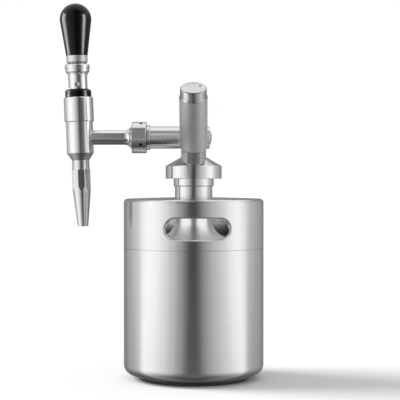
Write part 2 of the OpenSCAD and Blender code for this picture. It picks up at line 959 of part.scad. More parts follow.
module tap_shank() {
  color("#dcdddf")
    difference() {
      along_left()
        rotate_extrude()
          difference() {
            union() {
              band(0, tail_r - thread_depth, tail_x, nut_end);
              band(0, tail_r, thread_end, bell_end);
              band(0, shank_r, bell_end - over, tap_x);
            }
            intersection() {
              translate([shank_r + bell_arc, bell_end])
                circle(bell_arc);
              band(shank_r, shank_r + 2 * bell_arc, nut_end, bell_end + bell_arc);
            }
          }
      along_left()
        bore(shank_bore / 2, tail_x - over, tap_x);
      at_tap()
        bore(barrel_r, -barrel_half, barrel_half);
    }
}

module tap_body() {
  neck = nozzle_neck_d / 2;
  color("#dcdddf")
    difference() {
      at_tap()
        difference() {
          rotate_extrude()
            polygon([[0, cone_end], [neck, cone_end], [barrel_r, -barrel_half], [barrel_r, barrel_half],
              [bonnet_thread_d / 2, barrel_half], [bonnet_thread_d / 2, barrel_half + bonnet_thread],
              [0, barrel_half + bonnet_thread]]);
          bore(chamber_d / 2, -seat_h, barrel_half + bonnet_thread + over);
          bore(seat_bore / 2, web_h - over, -seat_h + over);
          bore(nozzle_thread_d / 2, cone_end - over, web_h);
        }
      along_left()
        bore(shank_bore / 2, bell_end, tap_x);
    }
}

module bonnet() {
  edge = 0.8;
  color("#e0e1e3")
    at_tap()
      difference() {
        rotate_extrude()
          polygon([[0, barrel_half], [bonnet_d / 2 - edge, barrel_half], [bonnet_d / 2, barrel_half + edge],
            [bonnet_d / 2, bonnet_top - edge], [bonnet_d / 2 - edge, bonnet_top], [0, bonnet_top]]);
        bore(bonnet_thread_d / 2, barrel_half - over, bonnet_roof);
        bore(rod_d / 2 + free_gap + 0.1, bonnet_roof - over, bonnet_top);
        bore(ring_spigot_d / 2, bonnet_top - ring_spigot - free_gap, bonnet_top + over);
      }
}

module bonnet_ring() {
  color("#161616")
    at_tap()
      rotate_extrude()
        difference() {
          union() {
            band(0, ring_spigot_d / 2, bonnet_top - ring_spigot, bonnet_top + over);
            band(0, ring_d / 2, bonnet_top, ring_top - ring_round);
            band(0, ring_d / 2 - ring_round, bonnet_top, ring_top);
            translate([ring_d / 2 - ring_round, ring_top - ring_round])
              circle(ring_round);
          }
          band(0, rod_d / 2 + run_fit, bonnet_top - ring_spigot - over, ring_top + over);
        }
}

module nozzle() {
  color("#dcdddf")
    at_tap()
      difference() {
        union() {
          bore(nozzle_thread_d / 2, cone_end - over, nozzle_top);
          bore(nozzle_neck_d / 2, grip_top - 1, cone_end);
          intersection() {
            translate([0, 0, tip_h])
              rotate([0, 0, nozzle_turn + 22.5])
                cylinder(r = grip_r, h = grip_top - tip_h, $fn = 8);
            rotate_extrude()
              polygon([[0, tip_h], [tip_d / 2, tip_h], [grip_round, grip_end],
                [grip_round, grip_top - nozzle_cone], [nozzle_neck_d / 2 - 0.2, grip_top], [0, grip_top]]);
          }
        }
        bore(tip_bore / 2, tip_h - over, grip_top);
        bore(nozzle_thread_d / 2 - nozzle_wall, grip_top, nozzle_top + over);
        translate([0, 0, grip_end])
          cylinder(r1 = tip_bore / 2, r2 = nozzle_thread_d / 2 - nozzle_wall, h = grip_top - grip_end);
      }
}

module restrictor_plate() {
  pitch_r = nozzle_thread_d / 2 - nozzle_wall - 1.6;
  color("#b9babd")
    at_tap()
      difference() {
        bore(nozzle_thread_d / 2 - free_gap / 2, nozzle_top, plate_h);
        for (i = [0:4])
          rotate([0, 0, 72 * i])
            translate([pitch_r, 0, 0])
              bore(plate_hole / 2, nozzle_top - over, plate_h + over);
      }
}

module nozzle_gasket() {
  color("#3a3a3a")
    at_tap()
      ring(nozzle_thread_d / 2 - free_gap / 2, nozzle_thread_d / 2 - nozzle_wall - 0.4, plate_h, web_h);
}

// Valve

module plunger_rod() {
  color("#c4c5c7")
    at_tap()
      difference() {
        union() {
          rotate_extrude()
            difference() {
              union() {
                band(0, disc_d / 2, disc_h, disc_h + disc_t);
                band(0, rod_d / 2, disc_h, pin_h);
                band(0, piston_r, piston_z, piston_top);
              }
              band(groove_r, piston_r + over, groove_z, groove_z + piston_ring);
            }
          across_pin(eye_t)
            circle(d = eye_d);
        }
        across_pin(eye_t + over)
          circle(r = pin_d / 2 + run_fit);
      }
}

module seat_washer() {
  color("#3a3a3a")
    at_tap()
      bore(disc_d / 2 - 0.2, -seat_h + rest_gap / 2, disc_h);
}

module plunger_o_ring() {
  color("#3a3a3a")
    at_tap()
      ring(chamber_d / 2 - run_fit, groove_r, groove_z, groove_z + piston_ring);
}

module return_spring() {
  color("#8f9094")
    at_tap()
      translate([0, 0, piston_top])
        coil(spring_d, wire_d, bonnet_roof - piston_top, spring_turns);
}

// Lever

module lever_section() {
  flange_low = lever_top - flange_h;
  bead = flange_h / 2 - 0.2;
  cove_out = flange_d / 2 - 0.6;
  band(0, lever_r, lever_low, lever_top);
  difference() {
    band(0, cove_out, flange_low - flange_cove, flange_low + bead);
    translate([lever_r + flange_cove, flange_low - flange_cove])
      circle(flange_cove);
  }
  band(0, flange_d / 2 - bead, flange_low, lever_top);
  translate([flange_d / 2 - bead, lever_top - bead])
    circle(bead);
}

module cam_cut() {
  far = 2 * lever_d;
  stop = lever_pull + 4;
  rise = [for (i = [0:8]) cam_point(stop * i / 8)];
  polygon(concat(
    [[-cam_lift, -far]],
    rise,
    [[-far, rise[8].y], [-far, -far]]
  ));
}

module eye_pocket() {
  r = eye_d / 2 + free_gap + 0.1;
  half = rod_d / 2 + free_gap + 0.1;
  far = 3 * pin_rise;
  circle(r);
  for (t = [0, lever_pull])
    rotate(-t)
      translate([-half, -far])
        square([2 * half, far]);
  polygon([[0, 0], [0, -far], far * [-sin(lever_pull), -cos(lever_pull)]]);
}

module lever_neck() {
  color("#d9dadc")
    at_tap()
      difference() {
        rotate_extrude()
          lever_section();
        across_pin(2 * lever_d)
          cam_cut();
        across_pin(eye_t + 2 * free_gap)
          eye_pocket();
        across_pin(2 * lever_d)
          circle(d = pin_d);
        bore(stud_d / 2, stud_low, lever_top + over);
      }
}

module pivot_pin() {
  color("#9a9b9e")
    at_tap()
      across_pin(lever_d + 0.2)
        circle(d = pin_d);
}

module lever_stud() {
  color("#9a9b9e")
    at_tap()
      bore(stud_d / 2, stud_low, stud_top);
}

module star_washer() {
  color("#55565a")
    at_tap()
      ring(star_d / 2, stud_d / 2, lever_top, star_top);
}

module handle_ferrule() {
  edge = 0.4;
  color("#bdbec0")
    at_tap()
      rotate_extrude()
        polygon([[stud_d / 2, star_top], [ferrule_d / 2 - edge, star_top], [ferrule_d / 2, star_top + edge],
          [ferrule_d / 2, ferrule_top], [stud_d / 2, ferrule_top]]);
}

module handle_insert() {
  color("#b08d4f")
    at_tap()
      ring(insert_d / 2, stud_d / 2, ferrule_top, ferrule_top + insert_len);
}

module tap_handle() {
  color("#141414")
    at_tap()
      rotate_extrude()
        difference() {
          intersection() {
            union() {
              polygon([[0, ferrule_top], [handle_foot_d / 2, ferrule_top],
                [handle_tan.x, handle_mid + handle_tan.y], [0, handle_mid + handle_tan.y]]);
              translate([0, handle_mid])
                circle(handle_r);
            }
            band(0, handle_d, ferrule_top, handle_top + over);
          }
          band(0, insert_d / 2, ferrule_top - over, ferrule_top + insert_len);
          band(0, stud_d / 2, ferrule_top, stud_top + over);
        }
}

base_pad();
keg_cup();
shoulder_neck();
handle_shell();
cap_gasket();
screw_cap();
tee_tube();
dip_tube();
dip_o_ring();
charger_port();
piercing_pin();
port_seal();
check_valve();
gas_charger();
charger_holder();
relief_seat();
relief_spring();
relief_button();
relief_stem();
relief_seal();
slip_ring();
coupling_nut();
tail_gasket();
tap_shank();
tap_body();
bonnet();
bonnet_ring();
nozzle();
restrictor_plate();
nozzle_gasket();
plunger_rod();
seat_washer();
plunger_o_ring();
return_spring();
lever_neck();
pivot_pin();
lever_stud();
star_washer();
handle_ferrule();
handle_insert();
tap_handle();
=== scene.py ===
"""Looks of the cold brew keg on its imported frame. Shapes are drawn in millimetres."""

import json
import math

import bmesh
import bpy
from mathutils import Matrix, Vector

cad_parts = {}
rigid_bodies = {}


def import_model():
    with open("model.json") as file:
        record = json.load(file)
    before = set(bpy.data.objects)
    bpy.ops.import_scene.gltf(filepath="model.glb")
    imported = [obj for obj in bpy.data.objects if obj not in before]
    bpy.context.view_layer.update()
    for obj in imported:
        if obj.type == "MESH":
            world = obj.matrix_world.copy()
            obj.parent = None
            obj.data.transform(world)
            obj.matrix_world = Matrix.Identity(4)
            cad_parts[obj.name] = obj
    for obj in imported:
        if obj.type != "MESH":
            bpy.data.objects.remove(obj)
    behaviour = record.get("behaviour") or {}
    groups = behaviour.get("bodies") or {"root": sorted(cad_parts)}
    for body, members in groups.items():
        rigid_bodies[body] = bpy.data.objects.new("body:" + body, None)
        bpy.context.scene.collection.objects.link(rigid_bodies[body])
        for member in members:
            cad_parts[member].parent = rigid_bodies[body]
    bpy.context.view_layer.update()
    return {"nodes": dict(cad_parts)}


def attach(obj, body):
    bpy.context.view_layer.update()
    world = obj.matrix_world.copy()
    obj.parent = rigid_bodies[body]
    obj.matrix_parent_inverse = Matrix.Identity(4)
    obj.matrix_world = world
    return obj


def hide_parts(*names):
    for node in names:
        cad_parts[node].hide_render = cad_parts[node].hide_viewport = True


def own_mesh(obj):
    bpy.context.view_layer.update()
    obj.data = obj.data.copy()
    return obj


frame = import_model()
nodes = frame["nodes"]
scene = bpy.context.scene

# Axes on which the pieces were turned, each along its own Z

MILLIMETRE = 0.001
MM = Matrix.Scale(MILLIMETRE, 4)
TUBE_Z = 232.5
KEG = Matrix.Identity(4)
PORT = Matrix.Translation((0, -18.4, 209.9941)) @ Matrix.Rotation(math.radians(30), 4, "X")
LEFT = Matrix.Translation((0, 0, TUBE_Z)) @ Matrix.Rotation(math.radians(-90), 4, "Y")
RIGHT = Matrix.Translation((0, 0, TUBE_Z)) @ Matrix.Rotation(math.radians(90), 4, "Y")
TAP = Matrix.Translation((-109.9, 0, TUBE_Z)) @ Matrix.Rotation(math.radians(-2), 4, "Y")
PIN = TAP @ Matrix.Translation((0, 0, 50.8)) @ Matrix.Rotation(math.radians(90), 4, "X")


# Camera, at the photograph's height and distance

tilt_down = 1.04
lens = bpy.data.cameras.new("keg_camera")
lens.sensor_width = 36
lens.lens = 118.3
camera = bpy.data.objects.new("keg_camera", lens)
camera.location = (0.0061, -1.27, 0.1953)
camera.rotation_euler = (math.radians(90 - tilt_down), 0, 0)
scene.collection.objects.link(camera)
scene.camera = camera
scene.view_settings.view_transform = "Standard"


# Finishes. Most of a noise lies in the range named here, and a Mix node has its colours at these sockets.

NOISE_LOW, NOISE_HIGH = 0.3, 0.7
COLOUR_A, COLOUR_B, COLOUR_MIXED = 6, 7, 2
MARK_DEPTH = 0.0001
QUARTER_TURN = 0.25


def wire(tree, kind, place, feeds=None, **settings):
    """A node with its settings, whose sockets are fed numbers or what other nodes give."""
    node = tree.nodes.new(kind)
    node.location = place
    for key, value in settings.items():
        setattr(node, key, value)
    for socket, value in (feeds or {}).items():
        if isinstance(value, bpy.types.NodeSocket):
            tree.links.new(value, node.inputs[socket])
        else:
            node.inputs[socket].default_value = value
    return node


def reckon(tree, operation, terms, place):
    """One step of arithmetic on numbers or on what other nodes give."""
    step = wire(tree, "ShaderNodeMath", place, dict(enumerate(terms)), operation=operation)
    return step.outputs[0]


def mix(tree, share, first, second, place):
    """The first colour where the share is 0, the second where it is 1."""
    mixed = wire(tree, "ShaderNodeMix", place, {"Factor": share, COLOUR_A: first, COLOUR_B: second},
                 data_type="RGBA")
    return mixed.outputs[COLOUR_MIXED]


def noise(group, spot, scale, detail, place):
    stretched = wire(group, "ShaderNodeVectorMath", (place[0] - 220, place[1]), {0: spot, 1: scale},
                     operation="MULTIPLY")
    grain = wire(group, "ShaderNodeTexNoise", place,
                 {"Vector": stretched.outputs[0], "Scale": 1, "Detail": detail})
    return grain.outputs["Fac"]


def remap(group, value, low, high, place):
    spread = wire(group, "ShaderNodeMapRange", place,
                  {"Value": value, "From Min": NOISE_LOW, "From Max": NOISE_HIGH, "To Min": low,
                   "To Max": high})
    return spread.outputs["Result"]


def surface_group(name):
    """A node group with the sockets that every finish uses. Gives the group and its inputs."""
    group = bpy.data.node_groups.new(name, "ShaderNodeTree")
    inputs = (("Vector", "Vector"), ("Polished", "Float"), ("Dull", "Float"), ("Dark", "Color"),
              ("Light", "Color"))
    outputs = (("Colour", "Color"), ("Roughness", "Float"), ("Height", "Float"))
    for way, sockets in (("INPUT", inputs), ("OUTPUT", outputs)):
        for label, kind in sockets:
            group.interface.new_socket(label, in_out=way, socket_type="NodeSocket" + kind)
    return group, wire(group, "NodeGroupInput", (-900, 0)).outputs


def surface_out(group, given, tint_by, polish_by, height):
    """Leads the colour, the roughness and the height out of a group."""
    tint = mix(group, tint_by, given["Dark"], given["Light"], (300, 200))
    polish = remap(group, polish_by, given["Polished"], given["Dull"], (300, -100))
    wire(group, "NodeGroupOutput", (700, 0), {"Colour": tint, "Roughness": polish, "Height": height})


def lathe_marks():
    """Fine lines round the local Z axis, with slow cloudy changes of the polish over them."""
    group, given = surface_group("lathe_marks")
    lines = noise(group, given["Vector"], (35, 35, 2600), 4, (-400, 200))
    broad = noise(group, given["Vector"], (12, 12, 420), 2, (-400, 0))
    cloud = noise(group, given["Vector"], (26, 26, 19), 3, (-400, -200))
    both = reckon(group, "ADD", (lines, broad), (-150, 100))
    half = reckon(group, "MULTIPLY", (both, 0.5), (0, 100))
    surface_out(group, given, half, cloud, half)
    return group


def moulded_grain():
    """Slow mottling and a fine skin for plastic, rubber and cast pieces."""
    group, given = surface_group("moulded_grain")
    skin = noise(group, given["Vector"], (1500, 1500, 1500), 3, (-400, 200))
    cloud = noise(group, given["Vector"], (45, 45, 45), 3, (-400, -100))
    surface_out(group, given, cloud, cloud, skin)
    return group


MARKS = lathe_marks()
GRAIN = moulded_grain()


def between(tree, value, low, high, place):
    """1 where the value lies between two heights, else 0."""
    over = reckon(tree, "GREATER_THAN", (value, low), place)
    under = reckon(tree, "LESS_THAN", (value, high), (place[0], place[1] - 180))
    return reckon(tree, "MULTIPLY", (over, under), (place[0] + 180, place[1]))


def finish(name, marks, dark, light, polished, dull, relief, spindle=KEG, metallic=1.0, brushed=0.0,
           gloss=0.5, matte=None, zones=()):
    """A surface whose marks run round the spindle, the axis on which the piece was turned. Matte gives the
    heights between which it is duller, and by how much. Each zone gives two heights, the radius that it
    reaches out to and its shade."""
    made = bpy.data.materials.new(name)
    made.use_nodes = True
    tree = made.node_tree
    surface = tree.nodes["Principled BSDF"]
    surface.inputs["Metallic"].default_value = metallic
    surface.inputs["Specular IOR Level"].default_value = gloss
    spot = wire(tree, "ShaderNodeTexCoord", (-1000, 0))
    lay = wire(tree, "ShaderNodeMapping", (-800, 0),
               {"Vector": spot.outputs["Object"], "Location": spindle.translation * MILLIMETRE,
                "Rotation": spindle.to_euler()}, vector_type="TEXTURE")
    where = lay.outputs["Vector"]
    detail = wire(tree, "ShaderNodeGroup", (-550, 0),
                  {"Vector": where, "Polished": polished, "Dull": dull, "Dark": (*dark, 1),
                   "Light": (*light, 1)}, node_tree=marks)
    colour, roughness = detail.outputs["Colour"], detail.outputs["Roughness"]
    bump = wire(tree, "ShaderNodeBump", (-250, -250),
                {"Strength": relief, "Distance": MARK_DEPTH, "Height": detail.outputs["Height"]})
    tree.links.new(bump.outputs["Normal"], surface.inputs["Normal"])
    if brushed:
        surface.inputs["Anisotropic"].default_value = brushed
        surface.inputs["Anisotropic Rotation"].default_value = QUARTER_TURN
        about = wire(tree, "ShaderNodeVectorMath", (-550, -500), {0: (0, 0, 1), 1: where},
                     operation="CROSS_PRODUCT")
        back = wire(tree, "ShaderNodeMapping", (-400, -500),
                    {"Vector": about.outputs[0], "Rotation": spindle.to_euler()}, vector_type="VECTOR")
        grain = wire(tree, "ShaderNodeVectorTransform", (-220, -500), {"Vector": back.outputs["Vector"]},
                     convert_from="OBJECT", convert_to="WORLD")
        tree.links.new(grain.outputs["Vector"], surface.inputs["Tangent"])
    if matte or zones:
        height = wire(tree, "ShaderNodeSeparateXYZ", (-550, 500), {0: where}).outputs["Z"]
    if matte:
        low, high, duller = matte
        zone = between(tree, height, low, high, (-350, 500))
        roughness = reckon(tree, "MULTIPLY_ADD", (zone, duller, roughness), (0, 300))
    if zones:
        flat = wire(tree, "ShaderNodeVectorMath", (-550, 700), {0: where, 1: (1, 1, 0)}, operation="MULTIPLY")
        reach = wire(tree, "ShaderNodeVectorMath", (-400, 1000), {0: flat.outputs[0]}, operation="LENGTH")
    for low, high, radius, shade in zones:
        zone = between(tree, height, low, high, (-350, 800))
        inside = reckon(tree, "LESS_THAN", (reach.outputs["Value"], radius), (-200, 1000))
        both = reckon(tree, "MULTIPLY", (zone, inside), (0, 800))
        colour = mix(tree, both, colour, (*shade, 1), (150, 600))
    tree.links.new(colour, surface.inputs["Base Color"])
    tree.links.new(roughness, surface.inputs["Roughness"])
    return made


def grey(value, warmth=0.0):
    return (value + warmth, value, value - warmth)


# Places painted a shade over their steel, by height along the spindle and by radius, in metres

SEAM_Z, SLOT_Z, SHELL_INSIDE_R = 0.1268, 0.147, 0.06695
# Painted shade: the inside of the upper shell behind the slot is painted darker step by step downwards
SHADE_STEP, SHADES, FIRST_SHADE, FADE = 0.0008, 13, 0.6, 0.84
SHELL_PAINTED_SHADE = [(SEAM_Z, SLOT_Z - SHADE_STEP * i, SHELL_INSIDE_R, grey(FIRST_SHADE * FADE ** i))
                for i in range(SHADES)]
CONE_LOW, CONE_HIGH, CONE_R = -0.0219, -0.01495, 0.0129
# Painted shade: the cone under the tap's barrel, which faces down, is painted darker
CONE_PAINTED_SHADE = [(CONE_LOW, CONE_HIGH, CONE_R, grey(0.42))]
# Painted shade: the insides of the spanner holes in the union nut are painted nearly black
SPANNER_HOLE_SHADE = [(0.0475, 0.0575, 0.0148, grey(0.03))]
# Painted shade in the grooves between the knurl's diamonds
KNURL_ROOT_SHADE = (0.0168, 0.0672, 0.01302, grey(0.3))
END_BAND = (0.0673, 0.0774, 0.014, grey(0.4))
# Painted shade inside the vent hole in the holder's end
VENT_SHADE = (0.0736, 0.07735, 0.0112, grey(0.02))
END_FACE = (0.07735, 0.08, 0.0125, grey(0.55))

# Duller places, by height along the spindle, with the roughness that they add

NECK_DULL = (0, 0.1735, 0.28)
CONE_DULL = (CONE_LOW, CONE_HIGH, 0.1)
KNURL_DULL = (0.0158, 0.0673, 0.34)

# Each finish: its marks, dark and light shade, roughness where polished and where dull, relief and spindle

# The keg's satin steel carries the painted shade inside the upper shell
keg_satin = finish("keg_satin", MARKS, grey(0.62), grey(0.70), 0.19, 0.23, 0.04, KEG, brushed=0.7,
                   zones=SHELL_PAINTED_SHADE)
rim_steel = finish("rim_steel", MARKS, grey(0.58), grey(0.66), 0.22, 0.28, 0.04)
# Painted highlight: the weld line's steel is lighter than the shell's, for the bright line along the seam
weld_highlight_steel = finish("weld_highlight_steel", MARKS, grey(0.78), grey(0.86), 0.1, 0.14, 0.04)
neck_steel = finish("neck_steel", MARKS, grey(0.62), grey(0.72), 0.15, 0.19, 0.04, KEG, brushed=0.7,
                    matte=NECK_DULL)
cap_steel = finish("cap_steel", MARKS, grey(0.62), grey(0.72), 0.14, 0.18, 0.03, KEG, brushed=0.8)
cross_steel = finish("cross_steel", MARKS, grey(0.62), grey(0.72), 0.26, 0.3, 0.03, LEFT, brushed=1.0)
shank_steel = finish("shank_steel", MARKS, grey(0.62), grey(0.72), 0.07, 0.1, 0.02, LEFT)
tap_steel = finish("tap_steel", MARKS, grey(0.64), grey(0.74), 0.15, 0.19, 0.03, TAP, brushed=0.9,
                   matte=CONE_DULL, zones=CONE_PAINTED_SHADE)
nozzle_steel = finish("nozzle_steel", MARKS, grey(0.56), grey(0.66), 0.14, 0.18, 0.03, TAP, brushed=0.9)
nut_steel = finish("nut_steel", MARKS, grey(0.56), grey(0.66), 0.22, 0.26, 0.05, LEFT, brushed=0.9,
                   zones=SPANNER_HOLE_SHADE)
slip_steel = finish("slip_steel", MARKS, grey(0.6), grey(0.7), 0.28, 0.32, 0.03, LEFT, brushed=1.0)
port_steel = finish("port_steel", MARKS, grey(0.58), grey(0.68), 0.2, 0.25, 0.06, PORT)
knurl_steel = finish("knurl_steel", MARKS, grey(0.62), grey(0.7), 0.2, 0.26, 0.04, PORT,
                     matte=KNURL_DULL, zones=[KNURL_ROOT_SHADE, END_BAND, VENT_SHADE, END_FACE])
ferrule_steel = finish("ferrule_steel", GRAIN, grey(0.6), grey(0.7), 0.36, 0.44, 0.3, TAP)
inner_steel = finish("inner_steel", MARKS, grey(0.48), grey(0.58), 0.25, 0.35, 0.1)
spring_steel = finish("spring_steel", GRAIN, grey(0.38), grey(0.46), 0.25, 0.35, 0.1)
turned_brass = finish("turned_brass", MARKS, (0.52, 0.38, 0.15), (0.62, 0.47, 0.2), 0.22, 0.32, 0.1)
handle_black = finish("handle_black", GRAIN, grey(0.001), grey(0.002), 0.18, 0.22, 0.0, metallic=0.0,
                      gloss=0.18)
ring_black = finish("ring_black", GRAIN, grey(0.001), grey(0.003), 0.18, 0.22, 0.0, metallic=0.0, gloss=0.18)
seal_rubber = finish("seal_rubber", GRAIN, grey(0.025), grey(0.04), 0.5, 0.65, 0.3, metallic=0.0)
pad_rubber = finish("pad_rubber", GRAIN, grey(0.02), grey(0.035), 0.55, 0.7, 0.4, metallic=0.0)
pale_silicone = finish("pale_silicone", GRAIN, grey(0.7, 0.02), grey(0.8, 0.02), 0.4, 0.5, 0.1, metallic=0.0)

NODE_FINISHES = {
    keg_satin: ["keg_cup", "handle_shell"],
    neck_steel: ["shoulder_neck"],
    cap_steel: ["screw_cap"],
    cross_steel: ["tee_tube", "relief_button"],
    shank_steel: ["tap_shank"],
    tap_steel: ["tap_body", "bonnet", "lever_neck"],
    nozzle_steel: ["nozzle"],
    nut_steel: ["coupling_nut"],
    slip_steel: ["slip_ring"],
    port_steel: ["charger_port", "piercing_pin"],
    knurl_steel: ["charger_holder", "gas_charger"],
    ferrule_steel: ["handle_ferrule"],
    inner_steel: ["dip_tube", "relief_stem", "restrictor_plate", "plunger_rod", "pivot_pin", "lever_stud",
                  "star_washer"],
    spring_steel: ["relief_spring", "return_spring"],
    turned_brass: ["relief_seat", "handle_insert"],
    handle_black: ["tap_handle"],
    ring_black: ["bonnet_ring"],
    seal_rubber: ["dip_o_ring", "port_seal", "check_valve", "relief_seal", "tail_gasket", "nozzle_gasket",
                  "seat_washer", "plunger_o_ring"],
    pad_rubber: ["base_pad"],
    pale_silicone: ["cap_gasket"],
}
for coat_of, names in NODE_FINISHES.items():
    for name in names:
        for slot in nodes[name].material_slots:
            slot.material = coat_of


# Shaping

SAME_PLACE = 1e-4


def turned(outline, steps=128, closed=False):
    bm = bmesh.new()
    points = [bm.verts.new((r, 0, z)) for r, z in outline]
    edges = [bm.edges.new(pair) for pair in zip(points, points[1:])]
    if closed:
        edges.append(bm.edges.new((points[-1], points[0])))
    bmesh.ops.spin(bm, geom=points + edges, cent=(0, 0, 0), axis=(0, 0, 1), angle=2 * math.pi,
                   steps=steps, use_merge=True)
    bmesh.ops.remove_doubles(bm, verts=bm.verts, dist=SAME_PLACE)
    bmesh.ops.recalc_face_normals(bm, faces=bm.faces)
    return bm


def arc(centre, radius, start, end, count):
    turns = [math.radians(start + (end - start) * i / count) for i in range(count + 1)]
    return [(centre[0] + radius * math.cos(turn), centre[1] + radius * math.sin(turn)) for turn in turns]


def ring(centre, radius, count):
    return arc(centre, radius, 0, 360 - 360 / count, count - 1)


def wound(outline, pitch, turns, steps):
    """A closed outline led round the Z axis and up by its pitch at each turn."""
    bm = bmesh.new()
    points = [bm.verts.new((r, 0, z)) for r, z in outline]
    edges = [bm.edges.new(pair) for pair in zip(points, points[1:] + points[:1])]
    count = round(steps * turns)
    bmesh.ops.spin(bm, geom=points + edges, cent=(0, 0, 0), axis=(0, 0, 1), dvec=(0, 0, pitch / steps),
                   angle=2 * math.pi * count / steps, steps=count, use_merge=False)
    bmesh.ops.holes_fill(bm, edges=[e for e in bm.edges if e.is_boundary], sides=len(points))
    return bm


def piece(name, bm, place, body, coat_of, stands_for=(), sharp=32):
    bmesh.ops.remove_doubles(bm, verts=bm.verts, dist=SAME_PLACE)
    bmesh.ops.recalc_face_normals(bm, faces=bm.faces)
    for face in bm.faces:
        face.smooth = True
    for edge in bm.edges:
        edge.smooth = edge.calc_face_angle(0) < math.radians(sharp)
    bmesh.ops.transform(bm, matrix=MM @ place, verts=bm.verts)
    mesh = bpy.data.meshes.new(name)
    bm.to_mesh(mesh)
    bm.free()
    mesh.materials.append(coat_of)
    made = bpy.data.objects.new(name, mesh)
    scene.collection.objects.link(made)
    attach(made, body)
    if stands_for:
        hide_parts(*stands_for)
    return made


# Keg: the edge rolled in round the finger slot, and the weld between the cup and the upper shell

def rolled_edge():
    keg_r, slot_w, slot_h, slot_z, roll = 67.5, 63.6, 22.5, 146.5, 1.5
    proud, lap, inward, steps, aside = 0.03, 0.2, 3.8, 24, 3.7
    end, half = slot_h / 2, (slot_w - slot_h) / 2
    line = [(end + lap, -proud), (end, -proud)]
    line += [(x, -z) for x, z in arc((end, -roll), roll, 90, 180, 8)][1:]
    line += [(end - roll, inward), (end + lap, inward)]
    bm = bmesh.new()
    points = [bm.verts.new((half, -reach, depth)) for reach, depth in line]
    led = points + [bm.edges.new(pair) for pair in zip(points, points[1:] + points[:1])]
    for side in (1, -1):
        led = bmesh.ops.spin(bm, geom=led, cent=(side * half, 0, 0), axis=(0, 0, 1), angle=math.pi,
                             steps=steps)["geom_last"]
        led = bmesh.ops.spin(bm, geom=led, cent=(0, 0, 0), axis=(0, 0, 1), angle=0.0,
                             dvec=(-side * 2 * half / steps, 0, 0), steps=steps)["geom_last"]
    for vert in bm.verts:
        turn, reach = math.asin(vert.co.x / keg_r), keg_r - vert.co.z
        vert.co = (reach * math.sin(turn), -reach * math.cos(turn), slot_z + vert.co.y)
    bmesh.ops.rotate(bm, cent=(0, 0, 0), matrix=Matrix.Rotation(math.radians(aside), 3, "Z"), verts=bm.verts)
    return bm


piece("slot_edge", rolled_edge(), KEG, "keg", rim_steel)
weld_outline = [(66.9, 126.75), (67.0, 126.75), (67.04, 126.62), (67.47, 126.25), (66.9, 126.25)]
piece("weld_line", turned(weld_outline, steps=192, closed=True), KEG, "keg", weld_highlight_steel)


# Charger holder: a sleeve with a diamond knurl and a vented end

def knurled_holder():
    low, high, root, crest, blunt = 16.8, 67.2, 12.93, 13.25, 1.25
    around, cells, parts, near = 38, 23, 4, 0.01
    end_z, vent_x, vent_y, vent_r, bore_r, chamfer, bore = 77.4, 6.18, 3.29, 1.3, 0.9, 0.4, 3.5
    rows = cells * parts
    outline = [(0, 73.4), (9.2, 73.4), (9.2, 26.4), (11.2, 26.4), (11.2, 15.9), (12.7, 15.9), (12.93, 16.17)]
    outline += [(root, low + (high - low) * i / rows) for i in range(rows + 1)]
    outline += [(13.1, 67.35), (13.25, 67.5), (13.2, 67.75), (12.45, 69.45), (12.4, 69.7), (12.4, 76.25),
                (12.32, 76.5), (11.52, 77.32), (11.3, end_z)]
    bm = turned(outline, steps=around * parts)
    for vert in bm.verts:
        if low < vert.co.z < high and abs(vert.co.xy.length - root) < near:
            turn = around * math.atan2(vert.co.y, vert.co.x) / (2 * math.pi)
            rise = cells * (vert.co.z - low) / (high - low)
            peak = min(1 - abs(2 * ((turn + side * rise) % 1) - 1) for side in (1, -1))
            vert.co.xy *= 1 + (crest - root) / root * min(1, blunt * peak)
    rim = [e for e in bm.edges if e.is_boundary]
    vent = bmesh.ops.create_circle(bm, segments=24, radius=vent_r,
                                   matrix=Matrix.Translation((vent_x, vent_y, end_z)))["verts"]
    mouth = list({e for v in vent for e in v.link_edges})
    bmesh.ops.triangle_fill(bm, use_beauty=True, use_dissolve=True, edges=rim + mouth)
    about_vent = Matrix.Translation((-vent_x, -vent_y, 0))
    for depth, narrowed in ((chamfer, bore_r / vent_r), (bore, 1)):
        wall = bmesh.ops.extrude_edge_only(bm, edges=mouth)["geom"]
        mouth = [g for g in wall if isinstance(g, bmesh.types.BMEdge)]
        sunk = [g for g in wall if isinstance(g, bmesh.types.BMVert)]
        bmesh.ops.scale(bm, vec=(narrowed, narrowed, 1), space=about_vent, verts=sunk)
        bmesh.ops.translate(bm, vec=(0, 0, -depth), verts=sunk)
    return bm


piece("knurled_holder", knurled_holder(), PORT, "holder", knurl_steel, ["charger_holder"], sharp=40)


# Charger port: the crowned flats of its hexagon, with the corners turned off at both ends

def port_flats():
    low, high, flats, crown, skin = 0.4, 15.6, 10.3, 0.5, 0.02
    inner, blank, steps, rows = 9.5, 10, 144, 48
    low_cut, low_slope, high_cut, high_slope = 2.6, 0.607, 1, 0.571
    half_flat = math.radians(30)
    corner = flats / math.cos(half_flat)
    levels = [low + (high - low) * i / rows for i in range(rows + 1)]
    bm = turned([(inner, low), *((blank, z) for z in levels), (inner, high)], steps=steps, closed=True)
    for vert in bm.verts:
        if vert.co.xy.length > (inner + blank) / 2:
            turn = math.atan2(vert.co.y, vert.co.x) % math.radians(60) - half_flat
            bulge = crown * (1 - (math.tan(turn) / math.tan(half_flat)) ** 2)
            below = corner - low_cut + (vert.co.z - low) / low_slope
            above = corner - high_cut + (high - vert.co.z) / high_slope
            reach = min(flats / math.cos(turn) + bulge, below, above) + skin
            vert.co.xy *= reach / vert.co.xy.length
    return bm


piece("port_flats", port_flats(), PORT, "head", port_steel, sharp=20)


# Handle, ring, washer and pin of the tap

